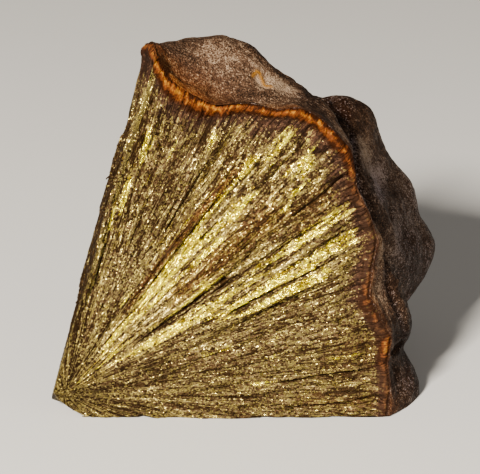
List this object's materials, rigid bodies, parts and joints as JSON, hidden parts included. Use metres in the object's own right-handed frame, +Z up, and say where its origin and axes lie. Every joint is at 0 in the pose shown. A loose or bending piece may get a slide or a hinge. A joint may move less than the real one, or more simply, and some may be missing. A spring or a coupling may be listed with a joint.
{
  "type": "marcasite nodule wedge",
  "caption": "Wedge broken from a radiating marcasite nodule: flat base, fibrous metallic fracture faces fanning from one corner, and a lumpy weathered crust.",
  "frame": {"origin": "on the resting base, under the centre of the bounding box", "axes": "+Z up from the flat base, -Y towards the broad fibrous face, +X from the nucleus corner towards the crust"},
  "size_m": [0.0512, 0.0308, 0.0484],
  "materials": {
    "marcasite": "fibrous brassy fracture faces with a rusty rim and a dull grey-brown lumpy crust"
  },
  "bodies": {
    "root": {"marcasite_nodule": "marcasite"}
  },
  "joints": []
}
